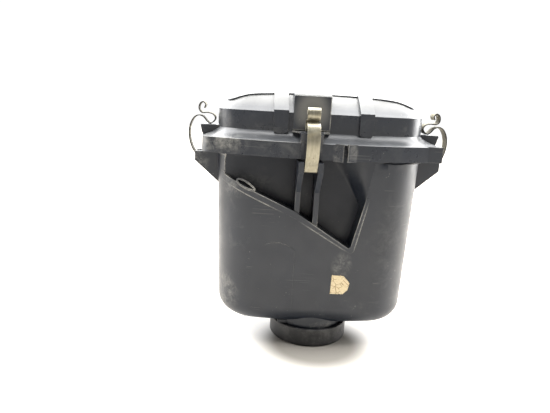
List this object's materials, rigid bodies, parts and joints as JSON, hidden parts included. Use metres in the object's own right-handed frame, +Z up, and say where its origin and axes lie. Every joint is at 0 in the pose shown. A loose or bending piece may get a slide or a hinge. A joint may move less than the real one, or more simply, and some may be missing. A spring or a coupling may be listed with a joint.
{
  "type": "air filter housing",
  "caption": "Moulded air filter housing: a case with an outlet neck in its floor, a panel filter on its rim and a domed lid held by four spring clips.",
  "frame": {"origin": "on the axis of the outlet neck, at the lower end of its rubber collar", "axes": "+Z up along the neck's axis, towards the lid; -Y the front, with the long clip bracket; +X to the right seen from the front"},
  "size_m": [0.2424, 0.1628, 0.231],
  "materials": {
    "case_plastic": "worn satin moulded plastic with pale dust and scuffs",
    "lid_plastic": "worn satin moulded plastic, glossier on the dome",
    "spring_steel": "dull tarnished spring strip",
    "collar_rubber": "dark smooth moulded rubber",
    "hose_rubber": "matt black rubber",
    "zinc_steel": "zinc plated",
    "wire_mesh": "dull woven wire",
    "rim_polyurethane": "soft moulded polyurethane",
    "filter_paper": "resin treated pleated paper",
    "filter_foam": "open cell foam, lightly oiled",
    "paper_tape": "torn and creased paper tape, blank"
  },
  "bodies": {
    "housing": {"case": "case_plastic", "outlet_collar": "collar_rubber", "drain_plug": "hose_rubber", "breather_elbow": "hose_rubber", "breather_clamp": "zinc_steel", "mount_grommets": "hose_rubber", "mount_sleeves": "zinc_steel", "paper_label": "paper_tape", "filter_frame": "rim_polyurethane", "filter_media": "filter_paper", "filter_screen": "wire_mesh", "prefilter_foam": "filter_foam"},
    "cover": {"lid": "lid_plastic", "inlet_snorkel": "hose_rubber", "snorkel_clamp": "zinc_steel", "inlet_screen": "wire_mesh"},
    "front_latch": {"front_clip": "spring_steel"},
    "rear_latch": {"rear_clip": "spring_steel"},
    "left_latch": {"left_clip": "spring_steel"},
    "right_latch": {"right_clip": "spring_steel"}
  },
  "joints": [
    {"name": "lid_lift", "type": "slide", "parent": "housing", "child": "cover", "axis": [0, 0, 1], "range_m": [0, 0.018]},
    {"name": "front_clip_hinge", "type": "hinge", "parent": "housing", "child": "front_latch", "pos_m": [-0.012, -0.0483, 0.1664], "axis": [1, 0, 0], "range_deg": [0, 150]},
    {"name": "rear_clip_hinge", "type": "hinge", "parent": "housing", "child": "rear_latch", "pos_m": [-0.012, 0.0743, 0.1664], "axis": [-1, 0, 0], "range_deg": [0, 150]},
    {"name": "left_clip_hinge", "type": "hinge", "parent": "housing", "child": "left_latch", "pos_m": [-0.1112, 0.013, 0.1664], "axis": [0, -1, 0], "range_deg": [0, 150]},
    {"name": "right_clip_hinge", "type": "hinge", "parent": "housing", "child": "right_latch", "pos_m": [0.1112, 0.013, 0.1664], "axis": [0, 1, 0], "range_deg": [0, 150]}
  ],
  "couplings": [
    {"joint": "front_clip_hinge", "follows": "lid_lift", "rad_per_m": 145.4},
    {"joint": "rear_clip_hinge", "follows": "lid_lift", "rad_per_m": 145.4},
    {"joint": "left_clip_hinge", "follows": "lid_lift", "rad_per_m": 145.4},
    {"joint": "right_clip_hinge", "follows": "lid_lift", "rad_per_m": 145.4}
  ]
}
